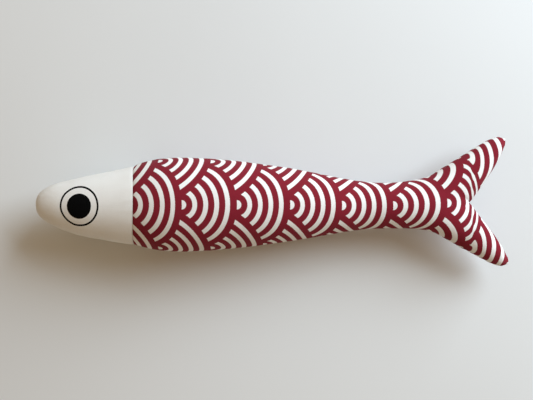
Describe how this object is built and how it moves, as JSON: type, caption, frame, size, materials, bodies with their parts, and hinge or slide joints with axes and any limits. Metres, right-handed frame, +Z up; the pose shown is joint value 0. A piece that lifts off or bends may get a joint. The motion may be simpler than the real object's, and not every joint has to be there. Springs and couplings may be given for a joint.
{
  "type": "stuffed fabric fish",
  "caption": "Firmly stuffed cotton fish lying on its side, with a plain head, printed eyes, a wave-scale printed body and a forked padded tail that bends at its wrist.",
  "frame": {"origin": "middle of the bottom of the fish's box, on the surface that the fish lies on", "axes": "+X from the nose to the tail, +Y towards the fish's back, +Z up, out of its left side"},
  "size_m": [0.3499, 0.0968, 0.066],
  "materials": {
    "plain_cotton": "matte plain-weave cotton, off-white",
    "printed_cotton": "matte plain-weave cotton with a burgundy and white wave-scale print",
    "polyester_fibre": "loose white fibre",
    "fabric_ink": "matte black print soaked into the cotton",
    "sewing_thread": "off-white spun polyester thread"
  },
  "bodies": {
    "body": {"head_panel_left": "plain_cotton", "head_panel_right": "plain_cotton", "body_panel_left": "printed_cotton", "body_panel_right": "printed_cotton", "body_filling": "polyester_fibre", "eye_ring_left": "fabric_ink", "eye_pupil_left": "fabric_ink", "eye_ring_right": "fabric_ink", "eye_pupil_right": "fabric_ink", "neck_seam_thread_left": "sewing_thread", "neck_seam_thread_right": "sewing_thread", "back_seam_thread": "sewing_thread", "belly_seam_thread": "sewing_thread", "closing_stitch": "sewing_thread"},
    "tail": {"tail_panel_left": "printed_cotton", "tail_panel_right": "printed_cotton", "tail_filling": "polyester_fibre", "tail_seam_thread": "sewing_thread"}
  },
  "joints": [
    {"name": "tail_bend", "type": "hinge", "parent": "body", "child": "tail", "pos_m": [0.07897, 0, 0.02801], "axis": [0, 1, 0], "range_deg": [-12, 12], "stiffness_Nm_per_rad": 0.6}
  ]
}
